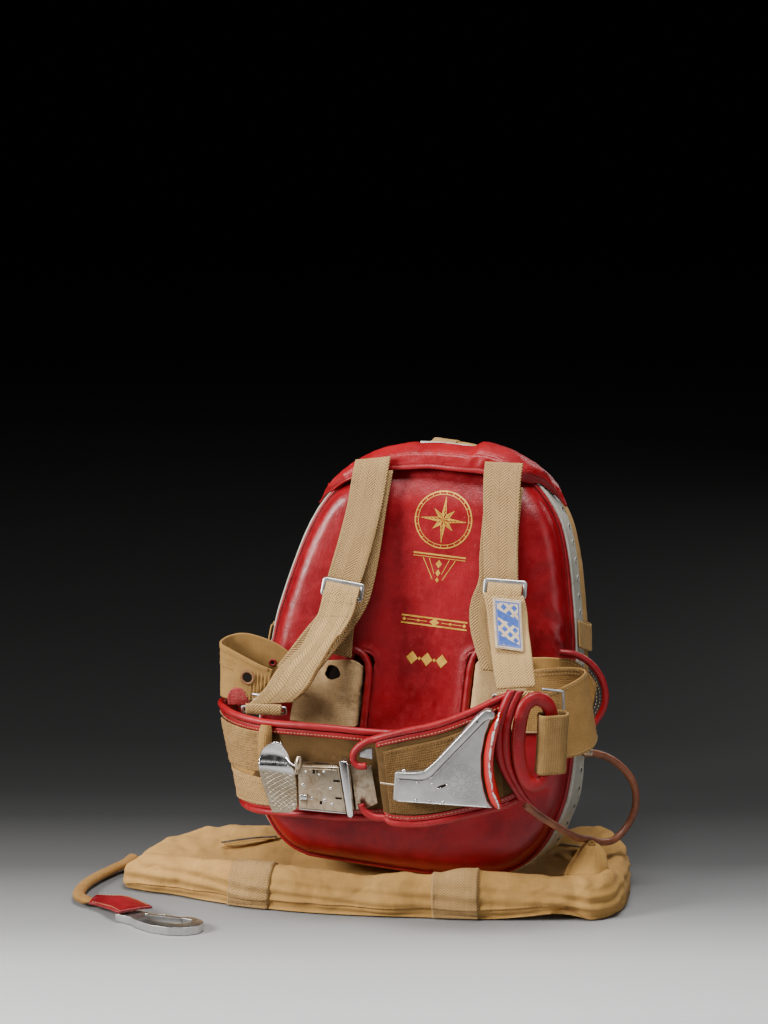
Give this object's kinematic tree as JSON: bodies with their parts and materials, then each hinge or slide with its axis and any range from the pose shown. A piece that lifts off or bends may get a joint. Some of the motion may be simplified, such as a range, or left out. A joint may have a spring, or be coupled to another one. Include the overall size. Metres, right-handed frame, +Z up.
{
  "type": "packed parachute",
  "caption": "Red leather back parachute pack with webbing harness, belt buckle and opening lever, standing on its canvas bag beside a static line with a snap hook.",
  "frame": {"origin": "on the floor, under the middle of the pack and its bag", "axes": "+Z up; -Y out of the red back pad, towards the wearer's back; +X to the right as the pad is looked at"},
  "size_m": [0.6814, 0.4223, 0.5559],
  "materials": {
    "red_leather": "grained, worn sheen",
    "tan_canvas": "plain cotton canvas",
    "herringbone_webbing": "herringbone cotton webbing",
    "coarse_webbing": "coarse fuzzy webbing",
    "bare_aluminium": "satin, scratched",
    "aged_nickel": "aged, worn plating",
    "grey_paint": "satin grey paint, chipped",
    "red_enamel": "glossy red paint, worn at the edges",
    "brown_hose": "satin brown"
  },
  "bodies": {
    "pack": {"adjuster_L": "bare_aluminium", "adjuster_R": "bare_aluminium", "anchor_L": "herringbone_webbing", "back_cover": "tan_canvas", "back_pad": "red_leather", "back_tab": "tan_canvas", "back_tab_binding": "red_leather", "bag": "tan_canvas", "bag_band_L": "herringbone_webbing", "bag_band_R": "herringbone_webbing", "bag_corner": "tan_canvas", "bag_zip_L": "aged_nickel", "bag_zip_R": "aged_nickel", "band_h": "herringbone_webbing", "band_v": "herringbone_webbing", "bar_end": "bare_aluminium", "belt_binding_L": "red_leather", "belt_binding_R_low": "red_leather", "belt_binding_R_top": "red_leather", "belt_panel_L": "tan_canvas", "belt_panel_R": "tan_canvas", "belt_webbing_R": "coarse_webbing", "buckle_box": "aged_nickel", "buckle_catch": "aged_nickel", "buckle_clip": "aged_nickel", "buckle_tongue": "aged_nickel", "cap": "red_leather", "end_roll_R": "red_leather", "end_wrap_lower": "coarse_webbing", "end_wrap_upper": "coarse_webbing", "hook_body": "bare_aluminium", "hose": "brown_hose", "leather_ring": "red_leather", "lever_box": "bare_aluminium", "lumbar_band_L": "coarse_webbing", "lumbar_band_R": "coarse_webbing", "pull_wire": "aged_nickel", "rect_ring": "aged_nickel", "ring_webbing": "herringbone_webbing", "side_band_L": "tan_canvas", "side_band_R": "herringbone_webbing", "slot_roll_L": "red_leather", "slot_roll_R": "red_leather", "static_line": "herringbone_webbing", "static_tab": "red_leather", "strap_L_lower": "herringbone_webbing", "strap_L_rear": "herringbone_webbing", "strap_L_upper": "herringbone_webbing", "strap_R_lower": "herringbone_webbing", "strap_R_rear": "herringbone_webbing", "strap_R_upper": "herringbone_webbing", "strap_slide_L": "bare_aluminium", "strap_slide_R": "bare_aluminium", "tab_L": "red_leather", "tray_rim": "grey_paint", "woven_label": "tan_canvas"},
    "opening_lever": {"opening_lever": "red_enamel"},
    "buckle_lever": {"buckle_lever": "aged_nickel"},
    "hook_gate": {"hook_gate": "bare_aluminium"}
  },
  "joints": [
    {"name": "opening_lever_hinge", "type": "hinge", "parent": "pack", "child": "opening_lever", "pos_m": [0.17281, -0.16873, 0.26876], "axis": [0.085, -0.9964, -0.0017], "range_deg": [0, 50]},
    {"name": "buckle_lever_hinge", "type": "hinge", "parent": "pack", "child": "buckle_lever", "pos_m": [-0.06977, -0.16396, 0.16505], "axis": [0.0302, -0.0018, 0.9995], "range_deg": [0, 70]},
    {"name": "hook_gate_hinge", "type": "hinge", "parent": "pack", "child": "hook_gate", "pos_m": [-0.24685, -0.19244, 0.0056], "axis": [0, 0, -1], "range_deg": [0, 20], "stiffness_Nm_per_rad": 0.02}
  ]
}
